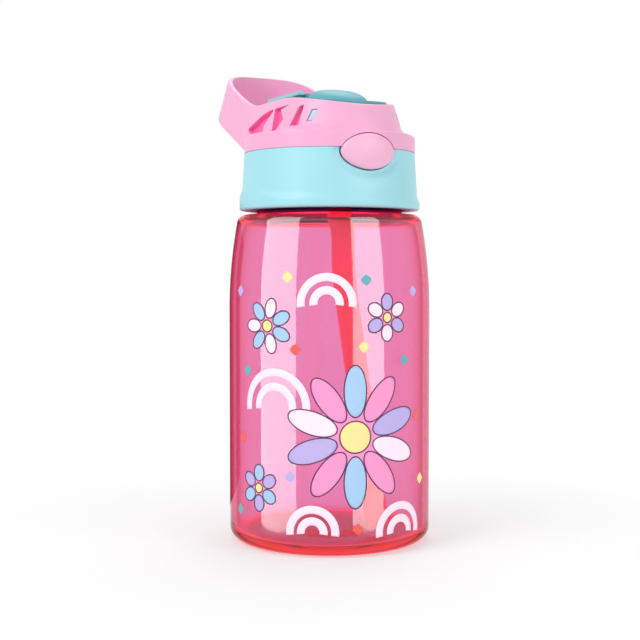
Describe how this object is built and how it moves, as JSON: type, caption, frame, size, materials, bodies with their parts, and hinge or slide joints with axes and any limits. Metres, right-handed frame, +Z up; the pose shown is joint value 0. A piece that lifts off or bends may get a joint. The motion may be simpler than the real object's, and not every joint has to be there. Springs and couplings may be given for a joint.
{
  "type": "kids water bottle",
  "caption": "Clear tapered kids' drinking bottle with a screw lid, flip-open spout cover, push-button latch, folding soft nozzle, straw and carrying loop.",
  "frame": {"origin": "middle of the flat base that the bottle stands on", "axes": "+Z up along the bottle's axis, +X to the push button at the front of the lid, -X to the carrying loop, Y across"},
  "size_m": [0.1066, 0.074, 0.1789],
  "materials": {
    "clear_pink": "clear tinted plastic with a high polish",
    "lid_pink": "satin moulded plastic",
    "collar_blue": "satin moulded plastic",
    "cover_teal": "satin moulded plastic",
    "silicone": "soft matte silicone",
    "straw_rose": "smooth extruded plastic",
    "latch_white": "plain moulded plastic",
    "spring_steel": "drawn steel wire"
  },
  "bodies": {
    "bottle": {"bottle_body": "clear_pink"},
    "gasket": {"neck_gasket": "silicone"},
    "lid": {"collar": "collar_blue", "handle_shell": "lid_pink", "spout_frame": "cover_teal", "hinge_pin": "spring_steel", "cover_spring": "spring_steel", "mouthpiece_socket": "silicone", "straw": "straw_rose", "vent_valve": "silicone", "button_spring": "spring_steel"},
    "cover": {"spout_cover": "cover_teal", "cover_pad": "silicone"},
    "nozzle": {"mouthpiece": "silicone"},
    "button": {"push_button": "lid_pink", "latch_fork": "latch_white"}
  },
  "joints": [
    {"name": "lid_lift", "type": "slide", "parent": "bottle", "child": "gasket", "axis": [0, 0, 1], "range_m": [0, 0.135]},
    {"name": "lid_turn", "type": "hinge", "parent": "gasket", "child": "lid", "pos_m": [0, 0, 0.142], "axis": [0, 0, 1], "continuous": true},
    {"name": "cover_flip", "type": "hinge", "parent": "lid", "child": "cover", "pos_m": [-0.007, 0, 0.1622], "axis": [0, -1, 0], "range_deg": [0, 100]},
    {"name": "nozzle_fold", "type": "hinge", "parent": "lid", "child": "nozzle", "pos_m": [0.003, 0, 0.1508], "axis": [0, -1, 0], "range_deg": [0, 70]},
    {"name": "button_press", "type": "slide", "parent": "lid", "child": "button", "axis": [-1, 0, 0], "range_m": [0, 0.0015], "stiffness_N_per_m": 800, "deforming": ["button_spring"]}
  ],
  "couplings": [
    {"joint": "nozzle_fold", "follows": "cover_flip", "ratio": 0.7}
  ]
}
